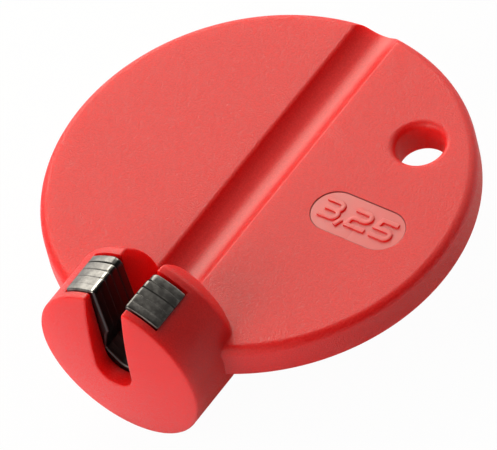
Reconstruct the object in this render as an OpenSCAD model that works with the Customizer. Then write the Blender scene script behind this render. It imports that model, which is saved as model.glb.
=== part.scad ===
// Disc spoke wrench: a moulded grip disc with a round hub that carries a stack of steel jaw plates.
// The spoke lies along Y, the jaws open towards +Z, and the disc reaches back along +Y.
// The origin is the centre of the nipple seat, halfway along the plate stack.

/* [Nipple seat] */
// Size of the nipple's square, across its flats
nipple_across = 3.25; // [3.2:0.05:3.45]
// Play between the nipple and its seat, across the flats
seat_play = 0.05; // [0.02:0.01:0.12]
// Radius at the bottom corner of the seat
seat_round = 1.3; // [0.5:0.1:1.6]
// Gap between the two lips, where the spoke passes
lip_gap = 2.7; // [2.3:0.05:3.1]
// Height of the lips above the middle of the seat
lip_rise = 2.95; // [2.6:0.05:3.4]
// Radius on each lip
lip_round = 0.3; // [0.15:0.05:0.4]
// How far the wall steps back just below a lip
lip_hook = 0.42; // [0.3:0.02:0.6]
// Gap at the top of the jaws
mouth_gap = 3.8; // [3.5:0.1:4.2]
// Radius on the top inner corner of each jaw
mouth_round = 0.7; // [0.4:0.1:0.9]

/* [Jaw plates] */
// Thickness of one steel plate
plate_t = 1; // [0.94:0.02:1.1]
// Width of a plate
plate_w = 11.3; // [10.6:0.1:12]
// Diameter of the half-round notches in a plate's sides, which the plastic fills to hold it down
key_d = 1.6; // [1:0.1:2]
// Height of those notches above the middle of the seat
key_rise = 1.5; // [0:0.1:3]
// How far the plates stand proud of the hub
plate_proud = 0.08; // [0:0.02:0.2]
// Clearance between the plates' edges and the plastic round them
plate_gap = 0.03; // [0.02:0.01:0.06]
// Free length left in front of the stack in its pocket
slack_front = 0.25; // [0.1:0.01:0.3]
// Free length left behind the stack
slack_rear = 0.35; // [0.1:0.01:0.4]

/* [Hub] */
// Diameter of the hub
hub_d = 19; // [18.4:0.1:20]
// How far the axis of the hub lies below the nipple's axis
hub_drop = 0.4; // [0:0.1:0.8]
// Plastic in front of the plates, at the hub's edge
wall_front = 0.9; // [0.8:0.05:1.6]
// Plastic behind the plates, at the hub's edge
wall_rear = 0.9; // [0.8:0.05:1.6]
// Height of the slightly crowned front face
crown_front = 1; // [0.6:0.1:1.4]
// Height of the domed rear end
crown_rear = 4.1; // [3.6:0.1:4.6]
// Radius on the front edge of the hub
edge_front = 0.3; // [0.2:0.1:0.5]
// Radius on the rear edge of the hub
edge_rear = 1; // [0.5:0.1:1.4]

/* [Grip disc] */
// Diameter of the disc
disc_d = 45; // [42:0.5:50]
// Thickness of the disc
disc_t = 4; // [3.6:0.1:4.6]
// Radius on the upper edge of the rim
rim_round_top = 1; // [0.5:0.1:1.4]
// Radius on the lower edge of the rim
rim_round_under = 0.65; // [0.4:0.05:1.4]
// Distance from the middle of the jaws to the middle of the disc
disc_reach = 21.8; // [20.5:0.1:23.5]

/* [Slot and groove] */
// Width of the slot through the hub
slot_w = 4.4; // [4.3:0.05:4.8]
// Radius of the slot's floor where it sweeps up from the jaws into the groove
runout_r = 15.5; // [13.5:0.5:17]
// Width of the shallow groove across the disc
groove_w = 5.2; // [4.9:0.1:5.6]
// Depth of the groove
groove_depth = 1.25; // [1:0.05:1.5]

/* [Lanyard hole] */
// Diameter of the hole
hole_d = 5.1; // [4.5:0.1:5.6]
// Radius on the upper edge of the hole
hole_round_top = 0.9; // [0.4:0.1:1.2]
// Radius on the lower edge of the hole
hole_round_under = 0.4; // [0.2:0.1:0.8]
// Distance from the rim to the middle of the hole
hole_inset = 5.8; // [5:0.1:6.6]
// Direction of the hole, in degrees from the disc's right side
hole_angle = 42.3; // [38:0.1:50]

/* [Size mark recess] */
// Length of the recess
mark_l = 10.7; // [9.4:0.1:11.2]
// Width of the recess
mark_w = 5.15; // [4.6:0.05:5.6]
// Depth of the recess
mark_depth = 0.1; // [0.05:0.05:0.4]
// Distance from the rim to the near end of the recess
mark_inset = 4.75; // [4.4:0.05:5.2]

/* [Hidden] */
$fn = 96;
arc_steps = 8;
overrun = 1;
plates = 5;

stack_l = plates * plate_t;
stack_front = -stack_l / 2;
stack_rear = stack_l / 2;
pocket_front = stack_front - slack_front;
pocket_rear = stack_rear + slack_rear;

hub_r = hub_d / 2;
hub_z = -hub_drop;
front_edge_y = pocket_front - wall_front;
rear_edge_y = pocket_rear + wall_rear;
front_ball_r = crown_ball(crown_front);
rear_ball_r = crown_ball(crown_rear);
front_tip_y = front_edge_y - crown_front;
rear_tip_y = rear_edge_y + crown_rear;
front_ball_y = front_tip_y + front_ball_r;
rear_ball_y = rear_tip_y - rear_ball_r;

disc_r = disc_d / 2;
disc_top = hub_z + disc_t / 2;
hole_reach = disc_r - hole_inset;
groove_r = (pow(groove_w / 2, 2) + pow(groove_depth, 2)) / (2 * groove_depth);
groove_z = disc_top - groove_depth + groove_r;
groove_foot_r = norm([groove_w / 2, disc_t / 2]);
groove_start_y = rear_ball_y + sqrt(pow(rear_ball_r, 2) - pow(groove_foot_r, 2));
slot_r = slot_w / 2;
slot_top = hub_z + hub_r + plate_proud + overrun;
runout_sweep = 60;
runout_axis_r = runout_r - slot_r;

seat_half = (nipple_across + seat_play) / sqrt(2);
jaw_top_r = hub_r + plate_proud;
corner_x = mouth_gap / 2;
touch_x = corner_x + mouth_round;
touch_z = jaw_top(touch_x);
touch_slope = -touch_x / sqrt(pow(jaw_top_r, 2) - pow(touch_x, 2));
outer_x = plate_w / 2 - overrun;

// Radius of the ball that gives the hub's end a crown of height h
function crown_ball(h) = (pow(hub_r, 2) + pow(h, 2)) / (2 * h);

// Height of the jaws' top at a distance x from the middle
function jaw_top(x) = hub_z + sqrt(pow(jaw_top_r, 2) - pow(x, 2));

// Height at x on the line that touches the jaws' top beside the mouth
function top_line(x) = touch_z + touch_slope * (x - touch_x);

// The seat and mouth, from the bottom of the seat up the right-hand side: point and corner radius
mouth_side = [
    [[seat_half, 0], lip_round],
    [[lip_gap / 2 + lip_hook, lip_rise - 2 * lip_hook], lip_round],
    [[lip_gap / 2, lip_rise], lip_round],
    [[corner_x, top_line(corner_x)], mouth_round],
    [[outer_x, top_line(outer_x)], 0],
    [[outer_x, slot_top], 0]
];
mouth_path = concat(
    [[[0, -seat_half], seat_round]],
    mouth_side,
    [for (i = [len(mouth_side) - 1 : -1 : 0]) [[-mouth_side[i][0].x, mouth_side[i][0].y], mouth_side[i][1]]]
);

function unit(v) = v / norm(v);

// Half turn or less, signed, that leads from one direction to another
function turn(from, to) =
    let (t = to - from)
    t > 180 ? t - 360 : t < -180 ? t + 360 : t;

// Points of an arc of radius r that touches the lines from b to a and from b to c
function corner_arc(a, b, c, r) =
    let (
        u = unit(a - b),
        v = unit(c - b),
        half = acos(u * v) / 2,
        middle = b + unit(u + v) * r / sin(half),
        start = b + u * r / tan(half) - middle,
        end = b + v * r / tan(half) - middle,
        first = atan2(start.y, start.x),
        sweep = turn(first, atan2(end.y, end.x))
    )
    [
        for (i = [0 : arc_steps])
            let (angle = first + sweep * i / arc_steps)
            middle + r * [cos(angle), sin(angle)]
    ];

// A closed path whose corners are rounded by their own radii
function rounded(path) = [
    for (i = [0 : len(path) - 1])
        let (
            before = path[(i + len(path) - 1) % len(path)][0],
            after = path[(i + 1) % len(path)][0]
        )
        each path[i][1] > 0 ? corner_arc(before, path[i][0], after, path[i][1]) : [path[i][0]]
];

// Stands a flat outline up across the spoke and gives it a length along the spoke
module along_spoke(from_y, to_y) {
    translate([0, to_y, 0]) rotate([90, 0, 0]) linear_extrude(to_y - from_y) children();
}

// Outline of a plate's notched sides and round bottom, open-ended at the top
module plate_blank(gap, top) {
    difference() {
        union() {
            circle(plate_w / 2 + gap);
            translate([-plate_w / 2 - gap, 0]) square([plate_w + 2 * gap, top]);
        }
        for (side = [-1, 1])
            translate([side * plate_w / 2, key_rise]) circle(key_d / 2 - gap);
    }
}

// The material outside a round edge between the hub's side and the ball of one of its ends
module edge_waste(ball_y, ball_r, edge, side) {
    inner_r = hub_r - edge;
    rise = side * sqrt(pow(ball_r - edge, 2) - pow(inner_r, 2));
    reach = edge + overrun;
    translate([inner_r, ball_y + rise])
        difference() {
            polygon([[0, 0], [reach, 0], [reach, side * reach], unit([inner_r, rise]) * reach]);
            circle(edge);
        }
}

// Half section of the hub: distance from its axis, and place along it
module hub_section() {
    difference() {
        intersection() {
            translate([0, front_tip_y]) square([hub_r, rear_tip_y - front_tip_y]);
            translate([0, front_ball_y]) circle(front_ball_r, $fn = 4 * $fn);
            translate([0, rear_ball_y]) circle(rear_ball_r, $fn = 2 * $fn);
        }
        edge_waste(front_ball_y, front_ball_r, edge_front, -1);
        edge_waste(rear_ball_y, rear_ball_r, edge_rear, 1);
    }
}

module hub() {
    translate([0, 0, hub_z]) rotate([-90, 0, 0]) rotate_extrude() hub_section();
}

// Half section of the disc: a rectangle with two rounded outer corners
module disc_section() {
    straight_t = disc_t - rim_round_top - rim_round_under;
    translate([0, rim_round_under - disc_t / 2]) square([disc_r, straight_t]);
    translate([0, -disc_t / 2]) square([disc_r - rim_round_under, rim_round_under]);
    translate([0, disc_t / 2 - rim_round_top]) square([disc_r - rim_round_top, rim_round_top]);
    translate([disc_r - rim_round_under, rim_round_under - disc_t / 2]) circle(rim_round_under);
    translate([disc_r - rim_round_top, disc_t / 2 - rim_round_top]) circle(rim_round_top);
}

// The grip disc, with both edges of its rim rounded
module disc() {
    translate([0, disc_reach, hub_z]) rotate_extrude() disc_section();
}

// Round-bottomed slot through the hub's front wall, open upwards
module front_slot_cut() {
    along_spoke(front_tip_y - overrun, stack_front + plate_t) {
        circle(slot_r);
        translate([-slot_r, 0]) square([slot_w, slot_top]);
    }
}

// Slot behind the jaws, whose round-bottomed floor sweeps up into the groove
module runout_cut() {
    translate([0, 0, runout_axis_r]) rotate([0, 90, 0])
        rotate_extrude(angle = runout_sweep) {
            translate([0, -slot_r]) square([runout_axis_r, slot_w]);
            translate([runout_axis_r, 0]) circle(slot_r);
        }
}

// Shallow round-bottomed groove from the foot of the hub to the far side of the rim
module groove() {
    far_y = disc_reach + disc_r + overrun;
    intersection() {
        along_spoke(groove_start_y, far_y) translate([0, groove_z]) circle(groove_r);
        translate([-groove_w / 2, groove_start_y, disc_top - groove_w])
            cube([groove_w, far_y - groove_start_y, groove_w + overrun]);
    }
}

// Pocket that the plates are moulded into
module plate_pocket() {
    along_spoke(pocket_front, pocket_rear) plate_blank(plate_gap, slot_top);
}

// Half section of the flare at the hole's upper edge, at a height above the disc's middle
module hole_flare(edge) {
    flare_r = hole_d / 2 + edge;
    difference() {
        translate([0, disc_t / 2 - edge]) square([flare_r, edge + overrun]);
        translate([flare_r, disc_t / 2 - edge]) circle(edge);
    }
}

// Hole for a cord, with both of its edges rounded
module lanyard_hole() {
    translate([hole_reach * cos(hole_angle), disc_reach + hole_reach * sin(hole_angle), hub_z])
        rotate_extrude() {
            translate([0, -disc_t / 2 - overrun]) square([hole_d / 2, disc_t + 2 * overrun]);
            hole_flare(hole_round_top);
            mirror([0, 1]) hole_flare(hole_round_under);
        }
}

// Shallow recess with round ends that carries the size mark
module mark_recess() {
    straight = mark_l - mark_w;
    translate([disc_r - mark_inset - mark_l / 2, disc_reach, disc_top - mark_depth])
        linear_extrude(mark_depth + overrun) {
            square([straight, mark_w], center = true);
            for (side = [-1, 1])
                translate([side * straight / 2, 0]) circle(d = mark_w);
        }
}

module moulded_body() {
    color("crimson")
        difference() {
            union() {
                hub();
                disc();
            }
            plate_pocket();
            front_slot_cut();
            runout_cut();
            groove();
            lanyard_hole();
            mark_recess();
        }
}

// One stamped jaw plate; place 0 is the front one
module jaw_plate(place) {
    front_y = stack_front + place * plate_t;
    color("dimgray")
        along_spoke(front_y, front_y + plate_t)
            difference() {
                intersection() {
                    plate_blank(0, slot_top);
                    translate([0, hub_z]) circle(jaw_top_r, $fn = 2 * $fn);
                }
                polygon(rounded(mouth_path));
            }
}

moulded_body();
jaw_plate(0);  // jaw_plate_1
jaw_plate(1);  // jaw_plate_2
jaw_plate(2);  // jaw_plate_3
jaw_plate(3);  // jaw_plate_4
jaw_plate(4);  // jaw_plate_5
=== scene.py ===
# Looks of the disc spoke wrench: camera, light, moulded red plastic and blackened steel plates.
import math

import bmesh
import bpy
from mathutils import Matrix, Vector
from mathutils.geometry import intersect_line_line


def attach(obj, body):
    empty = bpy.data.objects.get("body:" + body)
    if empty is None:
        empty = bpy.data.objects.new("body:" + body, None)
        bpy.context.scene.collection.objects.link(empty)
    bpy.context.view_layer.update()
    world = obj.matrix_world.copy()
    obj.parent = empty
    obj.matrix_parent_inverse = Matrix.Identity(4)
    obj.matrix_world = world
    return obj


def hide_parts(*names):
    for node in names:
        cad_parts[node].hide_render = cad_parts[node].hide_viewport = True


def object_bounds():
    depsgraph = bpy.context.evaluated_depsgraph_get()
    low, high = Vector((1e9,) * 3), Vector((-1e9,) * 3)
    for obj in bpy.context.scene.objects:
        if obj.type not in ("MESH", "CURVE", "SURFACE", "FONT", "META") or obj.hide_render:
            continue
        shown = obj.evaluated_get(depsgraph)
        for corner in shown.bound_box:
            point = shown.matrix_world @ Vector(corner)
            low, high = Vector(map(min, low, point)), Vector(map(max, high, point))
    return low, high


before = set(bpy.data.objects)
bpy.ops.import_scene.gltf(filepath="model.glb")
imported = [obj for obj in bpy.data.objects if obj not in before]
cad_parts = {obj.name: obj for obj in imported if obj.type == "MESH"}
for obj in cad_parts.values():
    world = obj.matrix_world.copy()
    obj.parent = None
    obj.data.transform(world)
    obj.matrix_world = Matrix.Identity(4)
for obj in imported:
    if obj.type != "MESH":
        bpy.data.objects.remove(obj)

cadLow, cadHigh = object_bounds()
mm = 0.001
merge = 0.002 * mm      # points nearer than this are one

scene = bpy.context.scene
scene.view_settings.view_transform = "Standard"


# camera at the photograph's angle
photoCamera = {
    "target": (2.66 * mm, 16.32 * mm, 1.6 * mm),
    "distance": 989.85 * mm,
    "azimuth": 45.725,          # degrees round +Z, 0 looks along +Y
    "elevation": 48.5,
    "roll": -14.8,
    "lens": 712.3,              # mm, on the sensor's width
    "sensor": 36.0,
    "clip": (0.01, 10),         # metres
}


# stands off from a target in some direction, and looks back at it
def lookingBack(target, away, distance):
    turned = (-away).to_track_quat("-Z", "Y").to_matrix().to_4x4()
    return Matrix.Translation(Vector(target) + away * distance) @ turned


def addCamera(spec):
    azimuth, elevation = math.radians(spec["azimuth"]), math.radians(spec["elevation"])
    back = Vector((
        math.sin(azimuth) * math.cos(elevation),
        -math.cos(azimuth) * math.cos(elevation),
        math.sin(elevation),
    ))
    data = bpy.data.cameras.new("photoCamera")
    data.lens, data.sensor_width, data.sensor_fit = spec["lens"], spec["sensor"], "HORIZONTAL"
    data.clip_start, data.clip_end = spec["clip"]
    camera = bpy.data.objects.new("photoCamera", data)
    scene.collection.objects.link(camera)
    roll = Matrix.Rotation(math.radians(spec["roll"]), 4, "Z")
    camera.matrix_world = lookingBack(spec["target"], back, spec["distance"]) @ roll
    scene.camera = camera


addCamera(photoCamera)
print("camera ready")


# shader expressions: operators on a socket add Math nodes
class Value:
    def __init__(self, tree, socket):
        self.tree, self.socket = tree, socket

    # another output of the same node
    def part(self, name):
        return Value(self.tree, self.socket.node.outputs[name])

    def math(self, operation, *others):
        return self.tree.add("ShaderNodeMath", {"operation": operation}, dict(enumerate((self, *others))))

    def __add__(self, other):
        return self.math("ADD", other)

    def __sub__(self, other):
        return self.math("SUBTRACT", other)

    def __rsub__(self, other):
        return self.math("MULTIPLY_ADD", -1.0, other)

    def __mul__(self, other):
        return self.math("MULTIPLY", other)

    __radd__ = __add__
    __rmul__ = __mul__

    def hypot(self, other):
        return (self * self + other * other).math("SQRT")

    # 0 at low, 1 at high, smooth between; low may be the larger
    def between(self, low, high):
        return self.tree.add(
            "ShaderNodeMapRange",
            {"interpolation_type": "SMOOTHSTEP"},
            {"Value": self, "From Min": low, "From Max": high},
        )


# a node tree with one method for every node
class Tree:
    def __init__(self, owner):
        owner.use_nodes = True
        self.tree = owner.node_tree
        self.tree.nodes.clear()

    def add(self, kind, settings, inputs, output=0):
        made = self.tree.nodes.new(kind)
        for name, setting in settings.items():
            setattr(made, name, setting)
        for name, term in inputs.items():
            if isinstance(term, Value):
                self.tree.links.new(term.socket, made.inputs[name])
            else:
                made.inputs[name].default_value = term
        return Value(self, made.outputs[output]) if made.outputs else made

    # where the surface is on its own piece, in metres
    def place(self):
        return self.add("ShaderNodeTexCoord", {}, {}).part("Object")

    def axes(self, place):
        parts = self.add("ShaderNodeSeparateXYZ", {}, {"Vector": place})
        return [parts.part(name) for name in "XYZ"]

    # a Mix node has its colours at inputs 6 and 7 and at output 2
    def mixColour(self, factor, first, second):
        return self.add(
            "ShaderNodeMix", {"data_type": "RGBA"}, {0: factor, 6: first, 7: second}, output=2
        )

    def noise(self, where, perMetre, detail, roughness):
        return self.add(
            "ShaderNodeTexNoise",
            {},
            {"Vector": where, "Scale": perMetre, "Detail": detail, "Roughness": roughness},
        )

    def bump(self, height, depth):
        return self.add("ShaderNodeBump", {}, {"Height": height, "Strength": 1.0, "Distance": depth})


def newMaterial(name):
    material = bpy.data.materials.new(name)
    return material, Tree(material)


# moulded nylon: deep red, a little translucent, with a fine spark-eroded grain;
# the size mark's recess has a high polish and a painted pale sheen, and the slot and the groove are plainer
redNylon = {
    "colour": (0.730, 0.0020, 0.0040, 1),
    "pale": (0.850, 0.0160, 0.0160, 1),
    "paleGrain": (0.35, 0.7),                # all colour below the first, all pale above the second
    "roughness": 0.46,
    "speckle": 0.26,                         # range of the roughness in the grain
    "speckleGrain": (0.35, 0.65),
    "grainPerMetre": 6000,
    "grainDepth": 0.050 * mm,
    "ior": 1.5,
    "glow": 0.9,                             # share of the light that goes through the plastic
    "glowReach": (1.0, 0.03, 0.02),          # how far red, green and blue go, as shares of the scale
    "glowScale": 2.5 * mm,
    "markBelow": (0.5, 0.3),                 # the mark's finishes start and are full, in mm below the top
    # painted pale sheen on the recess's floor and the numerals' tops; their walls keep the deep red
    "paintedSheen": (0.800, 0.1350, 0.1350, 1),
    "polish": (0.20, 0.34),                  # roughness at the recess's left and right end
    "polishFrom": (8 * mm, 17 * mm),
    "polishEdge": 0.02 * mm,
    "polishAway": 0.8,                       # share of the grain's depth that the polish takes
    "wallRise": (0.02, 0.05, 0.16, 0.2),     # the numerals' walls, in mm above the recess's floor
    # a dark line in the base colour along the recess's edge
    "edgeLine": (0.250, 0.0030, 0.0040, 1),
    "edgeLineHalf": 0.09 * mm,
    "plainRoughness": 0.40,                  # in the slot and the groove
    "plainAway": 0.85,                       # share of the grain's depth that is missing there
    "slotPast": (0.06 * mm, 0.01 * mm),      # past the slot's radius
    "slotEnd": (12 * mm, 11 * mm),
    "grooveFade": 0.3 * mm,
    "grooveTop": (0.1, 0.3),                 # in mm below the top
    "grooveUnder": (0.1 * mm, 0.05 * mm),    # under the groove's floor
}


# the recess; its floor and the numerals' tops, not their walls, where a pale sheen is painted; and a dark
# line round its edge
def markMasks(spec, form, x, y, z):
    half, straight, middle = [length * mm for length in form.markSizes()]
    past = ((x - middle).math("ABSOLUTE") - straight).math("MAXIMUM", 0)
    away = past.hypot(y - form.spec["discMiddle"] * mm)
    near = z.between(*[(form.top - below) * mm for below in spec["markBelow"]])
    recess = away.between(half, half - spec["polishEdge"]) * near
    rise = z - (form.top - form.spec["markDepth"]) * mm
    foot, footEnd, headStart, head = [height * mm for height in spec["wallRise"]]
    # painted pale sheen: the recess's floor and the numerals' tops, not the numerals' walls
    pale = recess * (1 - rise.between(foot, footEnd) * rise.between(head, headStart))
    edgeLine = (away - half).math("ABSOLUTE").between(spec["edgeLineHalf"], 0) * near
    return recess, pale, edgeLine


# the slot and the groove, which have hardly any grain
def plainMask(spec, form, x, y, z):
    slotHalf, grooveHalf = form.spec["slotHalf"] * mm, form.spec["grooveHalf"] * mm
    slot = x.hypot(z.math("MINIMUM", 0)).between(*[slotHalf + past for past in spec["slotPast"]])
    slot = slot * y.between(*spec["slotEnd"])
    floor = (form.top - form.spec["grooveDepth"]) * mm
    groove = x.math("ABSOLUTE").between(grooveHalf, grooveHalf - spec["grooveFade"])
    groove = groove * z.between(*[(form.top - below) * mm for below in spec["grooveTop"]])
    groove = groove * z.between(*[floor - under for under in spec["grooveUnder"]])
    return slot.math("MAXIMUM", groove)


def makeRedNylon(spec, form):
    material, tree = newMaterial("redNylon")
    place = tree.place()
    x, y, z = tree.axes(place)
    grain = tree.noise(place, spec["grainPerMetre"], detail=3.0, roughness=0.6)
    recess, pale, edgeLine = markMasks(spec, form, x, y, z)
    plain = plainMask(spec, form, x, y, z)

    colour = tree.mixColour(grain.between(*spec["paleGrain"]), spec["colour"], spec["pale"])
    # the pale sheen painted on the recess
    colour = tree.mixColour(pale, colour, spec["paintedSheen"])
    leftPolish, rightPolish = spec["polish"]
    polish = x.between(*spec["polishFrom"]) * (rightPolish - leftPolish) + leftPolish
    smoothest = spec["roughness"] - spec["speckle"] / 2
    matte = grain.between(*spec["speckleGrain"]) * spec["speckle"] + smoothest
    matte = matte + (spec["plainRoughness"] - matte) * plain
    depth = grain * (1 - recess * spec["polishAway"]) * (1 - plain * spec["plainAway"])
    shader = tree.add("ShaderNodeBsdfPrincipled", {}, {
        "Base Color": tree.mixColour(edgeLine, colour, spec["edgeLine"]),
        "Roughness": matte + (polish - matte) * recess,
        "IOR": spec["ior"],
        "Subsurface Weight": spec["glow"],
        "Subsurface Radius": spec["glowReach"],
        "Subsurface Scale": spec["glowScale"],
        "Normal": tree.bump(depth, spec["grainDepth"]),
    })
    tree.add("ShaderNodeOutputMaterial", {}, {"Surface": shader})
    return material


# black oxide on stamped steel, rubbed on the tops and darker inside the mouth and below the tops, partly as
# painted shade; rubbed bright where spokes go in on the left jaw's mouth edge, partly wear and partly a
# painted highlight; and dark with grime in the joints
blackSteel = {
    "colour": (0.135, 0.128, 0.128, 1),
    "rubbed": (0.240, 0.228, 0.225, 1),
    "rubbedGrain": (0.35, 0.7),               # all colour below the first, all rubbed above the second
    # bright rim on the left jaw's mouth edge only: partly wear, partly a painted highlight
    "bright": (0.50, 0.48, 0.46, 1),
    # a darker copy of the steel inside the mouth and below the tops: partly whole oxide, partly painted
    # shade
    "oxideAndShade": (0.065, 0.057, 0.058, 1),
    "grime": (0.012, 0.010, 0.010, 1),
    "roughness": 0.40,
    "speckle": 0.2,                           # range of the roughness in the grain
    "grimeRoughness": 0.3,                    # what grime adds
    "grimeCover": 0.7,                        # share of the metal that grime hides
    "wornPolish": 0.1,                        # roughness that wear takes away
    "grainPerMetre": 1500,
    "patchesPerMetre": 500,
    "grainDepth": 0.010 * mm,
    "mouthReach": (-2.55 * mm, -2.25 * mm),   # the bright edge of the left jaw starts and is full here
    "mouthHeight": (8.2 * mm, 8.5 * mm),
    "wearRange": (1.2, 0.3),                  # wear of a full patch, and what is added everywhere
    "wearAndGlintAt": (0.35, 0.75),                   # not bright below the first, bright above the second
    "wallReach": (1.9 * mm, 2.1 * mm),        # the darker colour, part oxide and part painted shade, fills the mouth between the jaws, up to here
    "axisHeight": -0.4 * mm,
    "topRadius": (9.3 * mm, 9.48 * mm),       # the darker colour, part oxide and part painted shade, is below the first; the rubbed tops are above the second
    "jointGrime": (                           # left and right jaw, from the front
        (0.0, 0.1, 0.35, 1.0),
        (0.0, 0.2, 1.0, 0.2),
    ),
    "jointReach": (0.13 * mm, 0.05 * mm),
}


def makeBlackSteel(spec, joints):
    material, tree = newMaterial("blackSteel")
    place = tree.place()
    x, y, z = tree.axes(place)
    grain = tree.noise(place, spec["grainPerMetre"], detail=4.0, roughness=0.6)
    patch = tree.noise(place, spec["patchesPerMetre"], detail=3.0, roughness=0.5)
    # the tops; elsewhere the darker copy of the steel stands partly for whole oxide and partly for painted
    # shade
    top = x.hypot(z - spec["axisHeight"]).between(*spec["topRadius"])
    top = top * x.math("ABSOLUTE").between(*spec["wallReach"])
    # left jaw's mouth edge only: partly wear, partly a painted highlight
    edge = x.between(*spec["mouthReach"]) * x.math("LESS_THAN", 0) * z.between(*spec["mouthHeight"])
    patchWear, leastWear = spec["wearRange"]
    wearAndGlint = (edge * (patch * patchWear + leastWear)).between(*spec["wearAndGlintAt"])
    rightJaw = x.math("GREATER_THAN", 0)
    grime = sum(
        (y - joint).math("ABSOLUTE").between(*spec["jointReach"]) * (rightJaw * (right - left) + left)
        for joint, left, right in zip(joints, *spec["jointGrime"])
    )
    steel = tree.mixColour(grain.between(*spec["rubbedGrain"]), spec["colour"], spec["rubbed"])
    steel = tree.mixColour(top, spec["oxideAndShade"], steel)
    steel = tree.mixColour(wearAndGlint * top, steel, spec["bright"])
    smoothest = spec["roughness"] - spec["speckle"] / 2
    rough = grain * spec["speckle"] + grime * spec["grimeRoughness"] + smoothest
    shader = tree.add("ShaderNodeBsdfPrincipled", {}, {
        "Base Color": tree.mixColour(grime, steel, spec["grime"]),
        "Metallic": 1 - grime * spec["grimeCover"],
        "Roughness": rough - wearAndGlint * spec["wornPolish"],
        "Normal": tree.bump(grain, spec["grainDepth"]),
    })
    tree.add("ShaderNodeOutputMaterial", {}, {"Surface": shader})
    return material


# closed solid through a row of outlines that have the same number of points, in mm
def sweep(name, outlines, closed=False):
    shape = bmesh.new()
    rings = [[shape.verts.new(Vector(point) * mm) for point in outline] for outline in outlines]
    for near, far in zip(rings, rings[1:] + (rings[:1] if closed else [])):
        for i in range(len(near)):
            j = (i + 1) % len(near)
            shape.faces.new((near[i], near[j], far[j], far[i]))
    if not closed:
        shape.faces.new(rings[0])
        shape.faces.new(rings[-1][::-1])
    return finished(name, shape)


# straight bar along Y, with the outline's places (x, z) at both ends
def bar(name, outline, ends):
    return sweep(name, [[(x, y, z) for x, z in outline] for y in ends])


# solid of revolution; the section runs from one end of the axis to the other
def lathe(name, section, place, steps):
    shape = bmesh.new()
    rings = []
    for radius, height in section:
        turns = [math.tau * i / steps for i in range(steps if radius > 0 else 1)]
        rings.append([
            shape.verts.new(place(radius * math.cos(t), radius * math.sin(t), height) * mm) for t in turns
        ])
    for near, far in zip(rings, rings[1:]):
        for i in range(steps):
            j = (i + 1) % steps
            corners = near[i % len(near)], near[j % len(near)], far[j % len(far)], far[i % len(far)]
            shape.faces.new(list(dict.fromkeys(corners)))
    for ring in (rings[0], rings[-1]):
        if len(ring) > 1:
            shape.faces.new(ring)
    return finished(name, shape)


# the shape as a piece in the scene
def finished(name, shape):
    bmesh.ops.recalc_face_normals(shape, faces=shape.faces)
    mesh = bpy.data.meshes.new(name)
    shape.to_mesh(mesh)
    shape.free()
    piece = bpy.data.objects.new(name, mesh)
    scene.collection.objects.link(piece)
    return piece


# joins the tools to a piece or cuts them out of it, one by one
def combine(piece, tools, operation):
    for tool in tools:
        cut = piece.modifiers.new("cut", "BOOLEAN")
        cut.operation, cut.solver, cut.object = operation, "MANIFOLD", tool
        bake(piece)
        bpy.data.objects.remove(tool)


# turns the modified piece into a plain mesh
def bake(piece):
    mesh = bpy.data.meshes.new_from_object(piece.evaluated_get(bpy.context.evaluated_depsgraph_get()))
    piece.modifiers.clear()
    piece.data = mesh


# points of an arc in degrees, ends included
def arc(centre, radius, first, last, steps):
    angles = [math.radians(first + (last - first) * i / steps) for i in range(steps + 1)]
    return [(centre[0] + radius * math.cos(a), centre[1] + radius * math.sin(a)) for a in angles]


# points of an arc, each with the outward direction there
def bend(centre, radius, first, last, steps):
    return list(zip(arc(centre, radius, first, last, steps), arc((0, 0), 1, first, last, steps)))


# what a ball leaves in a corner as it rolls along it; a step is its centre and its ways to both faces
def cornerWedge(name, steps, radius, beyond, facets, closed=False):
    outlines = []
    for centre, wayA, wayB in steps:
        spread = wayA.angle(wayB)
        side = (wayB - wayA * math.cos(spread)) / math.sin(spread)
        turns = [spread * i / facets for i in range(facets + 1)]
        outline = [centre + (wayA * math.cos(t) + side * math.sin(t)) * radius for t in turns]
        far = radius + beyond
        tip = (wayA + wayB) * far / (1 + math.cos(spread))
        outline += [centre + wayB * far, centre + tip, centre + wayA * far]
        outlines.append(outline)
    return sweep(name, outlines, closed)


# the same steps on the left side
def mirrored(steps):
    flip = Vector((-1, 1, 1))
    return [tuple(part * flip for part in step) for step in steps]


# steps that begin near the middle, with the left side's before them
def bothSides(steps):
    return mirrored(steps)[::-1] + steps


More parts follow.
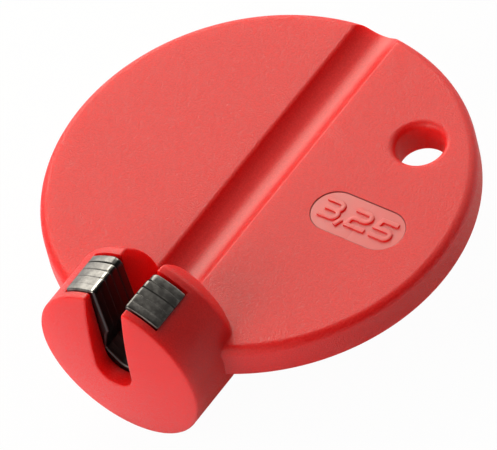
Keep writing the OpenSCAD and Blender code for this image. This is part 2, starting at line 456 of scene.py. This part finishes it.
# the moulding, in mm
moulding = {
    "hubRadius": 9.5,
    "hubHeight": -0.4,          # of the hub's axis and of the disc's middle, from the middle of the seat
    "hubFront": -3.65,          # where the front crown meets the hub's side
    "hubRear": 3.75,
    "crownFront": 1.0,
    "crownRear": 4.1,
    "edgeFront": 0.3,
    "edgeRear": 1.0,
    "discRadius": 22.5,
    "discMiddle": 21.8,
    "discThickness": 4.0,
    "rimTop": 1.0,
    "rimUnder": 0.65,
    "slotHalf": 2.2,
    "runoutRadius": 15.5,
    "runoutSweep": 60,          # degrees
    "grooveHalf": 2.6,
    "grooveDepth": 1.25,
    "pocketFront": -2.75,
    "pocketRear": 2.85,
    "pocketHalf": 5.68,
    "keyHeight": 1.5,
    "keyRadius": 0.77,
    "keyAxis": 5.65,
    "holeRadius": 2.55,
    "holeInset": 5.8,
    "holeAngle": 42.3,
    "holeRoundTop": 0.7,
    "holeRoundUnder": 0.4,
    "markLength": 10.7,
    "markWidth": 5.15,
    "markInset": 4.75,
    "markDepth": 0.1,
    "slotRound": 0.22,          # worn edge of the slot
    "grooveRound": 0.5,
    "markRound": 0.08,
    "junctionRound": 0.22,      # hollow fillet between the hub and the disc
    "junctionMiddle": 0.2,      # under the dome its steps start this far from the middle
    "over": 1.0,                # how far a tool runs past what it cuts
    "hubOver": 0.3,             # the same for the wedges along the hub's edges
    "discOver": 0.1,            # and along the disc's
    "facets": {                 # of each round
        "turn": 256,            # round the hub and the disc
        "crownFront": 24,
        "crownRear": 44,
        "edgeFront": 6,
        "edgeRear": 10,
        "rimTop": 10,
        "rimUnder": 8,
        "slot": 32,
        "slotEdge": 16,
        "runout": 60,
        "groove": 32,
        "pocket": 32,
        "key": 16,
        "hole": 128,
        "holeRoundTop": 12,
        "holeRoundUnder": 8,
        "mark": 32,
        "hubWedge": 6,
        "discWedge": 4,
    },
}


class Moulding:
    def __init__(self, spec):
        self.spec, self.facets = spec, spec["facets"]
        self.top = spec["hubHeight"] + spec["discThickness"] / 2
        self.under = spec["hubHeight"] - spec["discThickness"] / 2
        self.frontBall = self.ballRadius(spec["crownFront"])
        self.rearBall = self.ballRadius(spec["crownRear"])
        self.frontBallY = spec["hubFront"] - spec["crownFront"] + self.frontBall
        self.rearBallY = spec["hubRear"] + spec["crownRear"] - self.rearBall
        half, depth = spec["grooveHalf"], spec["grooveDepth"]
        self.grooveRadius = (half ** 2 + depth ** 2) / (2 * depth)
        self.grooveHeight = self.top - depth + self.grooveRadius
        foot = math.hypot(half, spec["discThickness"] / 2)
        grooveStart = self.rearBallY + math.sqrt(self.rearBall ** 2 - foot ** 2)
        self.grooveEnds = grooveStart, spec["discMiddle"] + spec["discRadius"] + spec["over"]
        self.roof = spec["hubHeight"] + spec["hubRadius"] + 2 * spec["over"]

    def ballRadius(self, crown):
        return (self.spec["hubRadius"] ** 2 + crown ** 2) / (2 * crown)

    # the hub's outline, grown by some mm: place (radius, y) and the outward direction there
    def hubOutline(self, grow=0.0):
        frontEdge, rearEdge = self.spec["edgeFront"], self.spec["edgeRear"]
        frontAxis, rearAxis = self.spec["hubRadius"] - frontEdge, self.spec["hubRadius"] - rearEdge
        frontRoundY = self.frontBallY - math.sqrt((self.frontBall - frontEdge) ** 2 - frontAxis ** 2)
        rearRoundY = self.rearBallY + math.sqrt((self.rearBall - rearEdge) ** 2 - rearAxis ** 2)
        frontTurn = math.degrees(math.atan2(frontRoundY - self.frontBallY, frontAxis))
        rearTurn = math.degrees(math.atan2(rearRoundY - self.rearBallY, rearAxis))
        facets = self.facets
        front = bend((0, self.frontBallY), self.frontBall + grow, -90, frontTurn, facets["crownFront"])
        frontRound = bend((frontAxis, frontRoundY), frontEdge + grow, frontTurn, 0, facets["edgeFront"])
        rearRound = bend((rearAxis, rearRoundY), rearEdge + grow, 0, rearTurn, facets["edgeRear"])
        rear = bend((0, self.rearBallY), self.rearBall + grow, rearTurn, 90, facets["crownRear"])
        return front + frontRound[1:] + rearRound[1:] + rear     # both rounds leave out their first point

    # the disc's outline from its top face to its under face
    def discOutline(self, grow=0.0):
        radius, top, under = self.spec["discRadius"], self.spec["rimTop"], self.spec["rimUnder"]
        upper = bend((radius - top, self.top - top), top + grow, 90, 0, self.facets["rimTop"])
        lowerAxis = radius - under, self.under + under
        return upper + bend(lowerAxis, under + grow, 0, -90, self.facets["rimUnder"])

    def hub(self):
        # a place that is only a rounding error away from the axis is put on it
        section = [(radius if radius > 1e-6 else 0, y) for (radius, y), way in self.hubOutline()]
        base = self.spec["hubHeight"]
        return lathe("hub", section, lambda x, z, y: Vector((x, y, z + base)), self.facets["turn"])

    def disc(self):
        section = [place for place, way in self.discOutline()]
        middle = self.spec["discMiddle"]
        return lathe("disc", section, lambda x, y, z: Vector((x, y + middle, z)), self.facets["turn"])

    # the ball's steps along the slot's edge: up the front, over the hub and down the dome, right-hand side
    def slotEdge(self):
        spec, ball = self.spec, self.spec["slotRound"]
        reach, base = spec["slotHalf"] + ball, spec["hubHeight"]
        steps = []
        for x, z in arc((0, 0), reach, -90, 0, self.facets["slotEdge"])[:-1]:
            y = self.frontBallY - math.sqrt((self.frontBall - ball) ** 2 - x ** 2 - (z - base) ** 2)
            centre = Vector((x, y, z))
            out = (centre - Vector((0, self.frontBallY, base))) / (self.frontBall - ball)
            steps.append((centre, -Vector((x, 0, z)) / reach, out))
        for (radius, y), (outward, along) in self.hubOutline(-ball):
            if radius <= reach:
                continue
            rise = math.sqrt(radius ** 2 - reach ** 2)
            if (y < 0 and rise + base < 0) or (y > 0 and rise + base < self.top - ball):
                continue
            out = Vector((outward * reach / radius, along, outward * rise / radius))
            steps.append((Vector((reach, y, base + rise)), Vector((-1, 0, 0)), out))
        return steps

    # the ball's steps along the hollow between hub and disc: under the dome, up the rim, back over the top
    def junction(self):
        spec, ball = self.spec, self.spec["junctionRound"]
        base, middle = spec["hubHeight"], spec["discMiddle"]
        grown = self.hubOutline(ball)
        lie = spec["discThickness"] / 2 + ball

        def beside(height, wayDisc, innermost):
            found = []
            for (radius, y), (outward, along) in grown:
                if y < 0 or radius <= math.hypot(lie, innermost):
                    continue
                x = math.sqrt(radius ** 2 - lie ** 2)
                wayHub = -Vector((outward * x / radius, along, outward * height / radius))
                found.append((Vector((x, y, base + height)), wayHub, wayDisc))
            return found

        rim = []
        for (radius, z), (outward, up) in reversed(self.discOutline(ball)):
            around, height = spec["hubRadius"] + ball, z - base
            x = math.sqrt(around ** 2 - height ** 2)
            back = math.sqrt(radius ** 2 - x ** 2)
            wayDisc = -Vector((outward * x / radius, -outward * back / radius, up))
            rim.append((Vector((x, middle - back, z)), -Vector((x, 0, height)) / around, wayDisc))
        underside = beside(-lie, Vector((0, 0, 1)), spec["junctionMiddle"])[::-1]
        above = beside(lie, Vector((0, 0, -1)), spec["grooveHalf"] + ball)
        return underside + rim + above

    # the ball's two steps along the groove's right edge
    def grooveEdge(self):
        ball = self.spec["grooveRound"]
        z = self.top - ball
        x = math.sqrt((self.grooveRadius + ball) ** 2 - (self.grooveHeight - z) ** 2)
        wayGroove = Vector((-x, 0, self.grooveHeight - z)).normalized()
        return [(Vector((x, y, z)), wayGroove, Vector((0, 0, 1))) for y in self.grooveEnds]

    # half the width of the size mark's recess, half its straight length, and its middle
    def markSizes(self):
        spec = self.spec
        half, length = spec["markWidth"] / 2, spec["markLength"]
        return half, length / 2 - half, spec["discRadius"] - spec["markInset"] - length / 2

    # outline of the size mark's recess, grown by some mm: place and the outward direction
    def markOutline(self, grow=0.0):
        half, straight, middle = self.markSizes()
        outline = []
        for side, first in ((1, -90), (-1, 90)):
            axis = middle + side * straight, self.spec["discMiddle"]
            outline += bend(axis, half + grow, first, first + 180, self.facets["mark"])
        return outline

    # the slot, its wheel-shaped run-out, the groove, the plates' pocket, the hole and the size mark's recess
    def cutters(self):
        spec, facets, over = self.spec, self.facets, self.spec["over"]
        half, roof = spec["slotHalf"], self.roof
        slot = [(half, roof), *arc((0, 0), half, 0, -180, facets["slot"]), (-half, roof)]
        front = self.frontBallY - self.frontBall - over
        yield bar("frontSlot", slot, (front, spec["pocketFront"] + over))

        lift = spec["runoutRadius"] - half
        inner = lift - spec["hubRadius"] - over
        rays = [(x, lift - z if z < roof else inner) for x, z in slot]
        sweepAngle, steps = math.radians(spec["runoutSweep"]), facets["runout"]
        turns = [sweepAngle * i / steps for i in range(steps + 1)]
        yield sweep("runout", [
            [(x, ray * math.sin(turn), lift - ray * math.cos(turn)) for x, ray in rays] for turn in turns
        ])

        spread = math.degrees(math.asin(spec["grooveHalf"] / self.grooveRadius))
        middle = 0, self.grooveHeight
        curve = arc(middle, self.grooveRadius, -90 + spread, -90 - spread, facets["groove"])
        groove = [(curve[0][0], self.top + over), *curve, (curve[-1][0], self.top + over)]
        yield bar("groove", groove, self.grooveEnds)

        wide, key = spec["pocketHalf"], spec["keyHeight"]
        bite = math.degrees(math.acos((wide - spec["keyAxis"]) / spec["keyRadius"]))
        notch = arc((spec["keyAxis"], key), spec["keyRadius"], bite, 360 - bite, facets["key"])
        side = [(wide, roof), *notch, *arc((0, 0), wide, 0, -90, facets["pocket"])[:-1]]
        pocket = side + [(0, -wide)] + [(-x, z) for x, z in side[::-1]]
        yield bar("pocket", pocket, (spec["pocketFront"], spec["pocketRear"]))

        reach, turn = spec["discRadius"] - spec["holeInset"], math.radians(spec["holeAngle"])
        axis = Vector((reach * math.cos(turn), spec["discMiddle"] + reach * math.sin(turn), 0))
        wide, top, under = spec["holeRadius"], spec["holeRoundTop"], spec["holeRoundUnder"]
        section = [
            (wide + top, self.top + over),
            *arc((wide + top, self.top - top), top, 90, 180, facets["holeRoundTop"]),
            *arc((wide + under, self.under + under), under, 180, 270, facets["holeRoundUnder"]),
            (wide + under, self.under - over),
        ]
        yield lathe("hole", section, lambda x, y, z: axis + Vector((x, y, z)), facets["hole"])

        mark = [place for place, way in self.markOutline()]
        floor = self.top - spec["markDepth"]
        yield sweep("mark", [[(x, y, z) for x, y in mark] for z in (floor, self.top + over)])

    # the wedges that round the edges of the slot, the groove and the recess
    def edgeCutters(self):
        spec, beyond, facets = self.spec, self.spec["discOver"], self.facets["discWedge"]
        slotEdge, ball = bothSides(self.slotEdge()), spec["slotRound"]
        yield cornerWedge("slotEdge", slotEdge, ball, spec["hubOver"], self.facets["hubWedge"])
        grooveEdge = self.grooveEdge()
        yield cornerWedge("grooveEdgeRight", grooveEdge, spec["grooveRound"], beyond, facets)
        yield cornerWedge("grooveEdgeLeft", mirrored(grooveEdge), spec["grooveRound"], beyond, facets)
        ball = spec["markRound"]
        markEdge = [
            (Vector((x, y, self.top - ball)), -Vector((*way, 0)), Vector((0, 0, 1)))
            for (x, y), way in self.markOutline(ball)
        ]
        yield cornerWedge("markEdge", markEdge, ball, beyond, facets, closed=True)

    def build(self):
        body, spec = self.disc(), self.spec
        steps, ball = bothSides(self.junction()), spec["junctionRound"]
        fillet = cornerWedge("junction", steps, ball, spec["hubOver"], self.facets["hubWedge"])
        combine(body, [self.hub(), fillet], "UNION")
        combine(body, [*self.cutters(), *self.edgeCutters()], "DIFFERENCE")
        return body


# raised numerals in the recess, in mm from the middle of the disc; strokes are drawn along their middles
numerals = {
    "text": [("3", 9.2), (",", 10.75), ("2", 12.65), ("5", 15.55)],
    "lines": (1.15, 0.1, -0.95),     # heights of the top, middle and bottom strokes
    "width": 0.5,
    "rise": 0.22,                    # above the floor of the recess
    "softness": 0.07,
    "bowlFacets": 12,
    "softFacets": 3,
}


# paths of a sign's strokes, from its own middle
def strokes(sign, spec):
    (top, mid, low), facets = spec["lines"], spec["bowlFacets"]
    bowl = (top - mid) / 2
    upper, lower = (0.45, top - bowl), (0.45, mid - bowl)
    if sign == "3":
        return [
            [(-1.05, top), *arc(upper, bowl, 90, -90, facets), (-0.75, mid)],
            [(-0.2, mid), *arc(lower, bowl, 90, -90, facets), (-1.05, low)],
        ]
    if sign == "2":
        shoulder = arc((-0.5, mid - bowl), bowl, 90, 180, facets // 2)
        return [[(-1.0, top), *arc(upper, bowl, 90, -90, facets), *shoulder, (-1.025, low), (1.1, low)]]
    if sign == "5":
        belly = arc(lower, bowl, 90, -90, facets)
        return [[(1.1, top), (-0.75, top), (-0.95, mid), *belly, (-1.1, low)]]
    return [[(0.1, low + 0.3), (-0.25, low - 0.6)]]


# a raised stroke along a path, with soft upper edges
def ribbon(name, path, spec, origin, floor):
    half, soft, high = spec["width"] / 2, spec["softness"], floor + spec["rise"]
    section = [(half, floor - soft), *arc((half - soft, high - soft), soft, 0, 90, spec["softFacets"])]
    section += [(-x, z) for x, z in section[::-1]]
    outlines = []
    for i, point in enumerate(path):
        here = Vector(point)
        before = (here - Vector(path[i - 1])).normalized() if i else None
        after = (Vector(path[i + 1]) - here).normalized() if i + 1 < len(path) else None
        ways = [way for way in (before, after) if way]
        across = sum((Vector((-way.y, way.x)) for way in ways), Vector((0, 0))).normalized()
        stretch = 1 / across.dot(Vector((-ways[0].y, ways[0].x)))
        outlines.append([(*(Vector(origin) + here + across * x * stretch), z) for x, z in section])
    return sweep(name, outlines)


def addNumerals(body, spec, form):
    floor = form.top - form.spec["markDepth"]
    tools = []
    for sign, middle in spec["text"]:
        for path in strokes(sign, spec):
            tools.append(ribbon("numeral", path, spec, (middle, form.spec["discMiddle"]), floor))
    combine(body, tools, "UNION")


# shades a piece smooth, apart from edges that turn by more than some degrees
def smooth(piece, sharpAbove=32):
    shape = bmesh.new()
    shape.from_mesh(piece.data)
    bmesh.ops.remove_doubles(shape, verts=shape.verts, dist=merge)
    bmesh.ops.dissolve_degenerate(shape, edges=shape.edges, dist=merge)
    for face in shape.faces:
        face.smooth = True
    for edge in shape.edges:
        edge.smooth = len(edge.link_faces) == 2 and edge.calc_face_angle() < math.radians(sharpAbove)
    shape.to_mesh(piece.data)
    shape.free()
    weighted = piece.modifiers.new("weighted", "WEIGHTED_NORMAL")
    weighted.keep_sharp = True
    bake(piece)


# a finished piece: its material, its body and the nodes that it replaces; its slot is not used
def cover(piece, material, slot, *nodes):
    piece.data.materials.clear()
    piece.data.materials.append(material)
    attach(piece, "root")
    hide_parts(*nodes)


form = Moulding(moulding)
redNylonMaterial = makeRedNylon(redNylon, form)
print("red nylon ready")
body = form.build()
addNumerals(body, numerals, form)
smooth(body)
body.name = "body_moulding"
cover(body, redNylonMaterial, "body_plastic", "moulded_body")
print("body ready:", len(body.data.polygons), "faces")

# jaw plates: stampings with rolled edges; radii in mm, one for each plate from the front
jawPlates = {
    "mouthCorner": (0.3, 0.3, 0.35, 0.45, 0.75),
    "rolledFront": (0.28, 0.02, 0.03, 0.03, 0.04),
    "rolledRear": (0.02, 0.03, 0.03, 0.04, 0.20),
    "notchFront": (0.28, 0.02, 0.16, 0.20, 0.22),     # rolled edge at the mouth's corners
    "notchRear": (0.02, 0.14, 0.18, 0.20, 0.30),
    "notchReach": (0.9, 0.45),       # the notches start and are full this far from the corner
    "cornerBox": (2.72, 8.1),        # the mouth's corners are nearer to the middle, and higher
    "sinkWidth": (5.0, 3.0),         # the top starts to sink and has sunk fully this far from the middle
    "sinkHeight": (7.0, 8.0),        # and this high
    "longest": 0.6,                  # longest side of the outline
    "facets": 6,                     # of a rolled edge
    "nearest": 0.95,                 # a point keeps this share of its depth from every side
}


# front outline of a CAD plate as places (x, z) in mm, and its front and rear ends
def stampedOutline(node, slack=0.01):
    shape = bmesh.new()
    shape.from_mesh(node.data)
    bmesh.ops.remove_doubles(shape, verts=shape.verts, dist=merge)
    front, rear = [pick(vert.co.y for vert in shape.verts) / mm for pick in (min, max)]
    faces = {
        face for face in shape.faces if all(abs(vert.co.y / mm - front) < slack for vert in face.verts)
    }
    follow = {}
    for face in faces:
        for loop in face.loops:
            if not faces.issuperset(loop.edge.link_faces):
                follow[loop.vert] = loop.link_loop_next.vert
    vert = next(iter(follow))
    outline = []
    for _ in follow:
        outline.append(Vector((vert.co.x, vert.co.z)) / mm)
        vert = follow[vert]
    shape.free()
    return outline, front, rear


# 0 at none, 1 at full, and even in between
def ramp(value, none, full):
    return min(max((value - none) / (full - none), 0), 1)


# gives the mouth's two corners a new radius, splits long sides, and finds where the corners would be
# if they were sharp; the top sinks towards sharper corners, so that they are no higher than the old ones
def reshaped(outline, radius, spec):
    width, height = spec["cornerBox"]
    lowest = min(range(len(outline)), key=lambda i: outline[i].y)
    outline = outline[lowest:] + outline[:lowest]
    moved, corners = [place.copy() for place in outline], []
    for side in (-1, 1):
        run = [i for i, place in enumerate(outline) if 0 < side * place.x < width and place.y > height]
        first, last = outline[run[0]], outline[run[-1]]
        before, after = first - outline[run[0] - 1], outline[run[-1] + 1] - last
        ends = first, first + before, last, last + after
        corner = intersect_line_line(*[end.to_3d() for end in ends])[0].to_2d()
        old = (first - corner).length / math.tan(before.angle(after) / 2)
        for i in run:
            moved[i] = corner + (outline[i] - corner) * radius / old
        corners.append(corner)
    high = max(place.y for place in moved) - max(place.y for place in outline)
    for place in moved:
        aside = ramp(abs(place.x), *spec["sinkWidth"])
        place.y -= max(high, 0) * aside * ramp(place.y, *spec["sinkHeight"])
    split = []
    for start, end in zip(moved, moved[1:] + moved[:1]):
        parts = math.ceil((end - start).length / spec["longest"])
        split += [start.lerp(end, i / parts) for i in range(parts)]
    return split, corners


# moves an outline inwards; a point that would come too near to a side joins the nearest one that doesn't
def inset(outline, depths, nearest, slack=0.002):
    sides = list(zip(outline, outline[1:] + outline[:1]))
    moved = []
    for (start, here), (_, end), depth in zip(sides[-1:] + sides[:-1], sides, depths):
        before, after = (here - start).normalized(), (end - here).normalized()
        first, second = Vector((-before.y, before.x)), Vector((-after.y, after.x))
        across = (first + second).normalized()
        moved.append(here + across * depth / across.dot(first))

    def clear(point, depth):
        for start, end in sides:
            way = end - start
            along = ramp((point - start).dot(way), 0, way.length_squared)
            if (start + way * along - point).length < nearest * depth - slack:
                return False
        return True

    kept = [point if clear(point, depth) else None for point, depth in zip(moved, depths)]
    places = [point for point in kept if point]
    return [
        point or min(places, key=lambda place: (place - crossed).length)
        for point, crossed in zip(kept, moved)
    ]


def addPlate(number, node, spec, material):
    outline, front, rear = stampedOutline(node)
    outline, corners = reshaped(outline, spec["mouthCorner"][number], spec)

    # the rolled edge's radius at each point of the outline
    def radii(rolled, notch):
        near = [min((place - corner).length for corner in corners) for place in outline]
        return [rolled + (notch - rolled) * ramp(length, *spec["notchReach"]) for length in near]

    fronts = radii(spec["rolledFront"][number], spec["notchFront"][number])
    rears = radii(spec["rolledRear"][number], spec["notchRear"][number])
    quarter = [math.radians(90 * turn / spec["facets"]) for turn in range(spec["facets"] + 1)]
    outlines = []
    for reach, end, way, angles in ((fronts, front, 1, quarter), (rears, rear, -1, quarter[::-1])):
        for angle in angles:
            depths = [radius * (1 - math.sin(angle)) for radius in reach]
            ring = inset(outline, depths, spec["nearest"])
            heights = [end + way * radius * (1 - math.cos(angle)) for radius in reach]
            outlines.append([(x, y, z) for (x, z), y in zip(ring, heights)])
    plate = sweep("stamping_" + str(number + 1), outlines)
    smooth(plate)
    cover(plate, material, "plate_steel", node.name)


plateNodes = [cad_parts[name] for name in sorted(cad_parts) if name.startswith("jaw_plate")]
joints = [max(vert.co.y for vert in node.data.vertices) for node in plateNodes[:-1]]
blackSteelMaterial = makeBlackSteel(blackSteel, joints)
print("black steel ready")
for number, node in enumerate(plateNodes):
    addPlate(number, node, jawPlates, blackSteelMaterial)
print("plates ready:", len(plateNodes))


# floor, world and lamps
studio = {
    "floorHeight": cadLow[2],
    "floorSize": 4.0,              # metres, as the lamps' sizes are
    "floorColour": (0.9, 0.9, 0.9, 1),
    "floorGlow": 0.97,             # share of plain white that the eye sees in the floor
    "shadeMiddle": (4 * mm, 26 * mm, 0),
    "shadeReach": (27 * mm, 35 * mm),     # reflections show plain white only outside the object's shade
    "fill": 0.04,
    "lampDistance": 0.6,
    "lampSize": 0.5,
    "lampColour": (1.0, 0.98, 0.86),
    "lamps": {                     # direction it shines from, and watts
        "backSoftbox": ((-0.70, 0.46, 0.54), 2.75),
        "lowSoftbox": ((-0.80, 0.55, 0.25), 0.73),
        "topSoftbox": ((0.0, 0.85, 0.50), 1.25),
        "frontSoftbox": ((-0.40, -0.80, 0.45), 2.52),
        "frontFill": ((0.10, -0.95, 0.30), 0.79),
    },
}


def addFloor(spec):
    half = spec["floorSize"] / 2
    corners = [(-half, -half), (half, -half), (half, half), (-half, half)]
    mesh = bpy.data.meshes.new("floor")
    mesh.from_pydata([(x, y, spec["floorHeight"]) for x, y in corners], [], [(0, 1, 2, 3)])
    floor = bpy.data.objects.new("floor", mesh)
    scene.collection.objects.link(floor)
    material, tree = newMaterial("whitePaper")
    rays = tree.add("ShaderNodeLightPath", {}, {})
    ends = {0: tree.place(), 1: spec["shadeMiddle"]}
    away = tree.add("ShaderNodeVectorMath", {"operation": "DISTANCE"}, ends).part("Value")
    reflected = rays.part("Is Glossy Ray") + rays.part("Is Transmission Ray")
    seen = rays.part("Is Camera Ray") + reflected * away.between(*spec["shadeReach"])
    glow = seen.math("MINIMUM", 1.0) * spec["floorGlow"]
    paper = tree.add("ShaderNodeBsdfDiffuse", {}, {"Color": spec["floorColour"]})
    white = tree.add("ShaderNodeEmission", {}, {"Color": (1, 1, 1, 1), "Strength": 1.0})
    surface = tree.add("ShaderNodeMixShader", {}, {0: glow, 1: paper, 2: white})
    tree.add("ShaderNodeOutputMaterial", {}, {"Surface": surface})
    material.cycles.emission_sampling = "NONE"     # the floor's white lights nothing
    mesh.materials.append(material)


def addWorld(spec):
    world = bpy.data.worlds.new("studio")
    tree = Tree(world)
    sky = tree.add("ShaderNodeBackground", {}, {"Color": (1, 1, 1, 1), "Strength": spec["fill"]})
    tree.add("ShaderNodeOutputWorld", {}, {"Surface": sky})
    scene.world = world


def addLamp(name, direction, power, spec):
    data = bpy.data.lights.new(name, "AREA")
    data.shape, data.size, data.energy, data.color = "DISK", spec["lampSize"], power, spec["lampColour"]
    lamp = bpy.data.objects.new(name, data)
    scene.collection.objects.link(lamp)
    away = Vector(direction).normalized()
    lamp.matrix_world = lookingBack(photoCamera["target"], away, spec["lampDistance"])


addFloor(studio)
addWorld(studio)
for name, (direction, power) in studio["lamps"].items():
    addLamp(name, direction, power, studio)
print("studio ready")
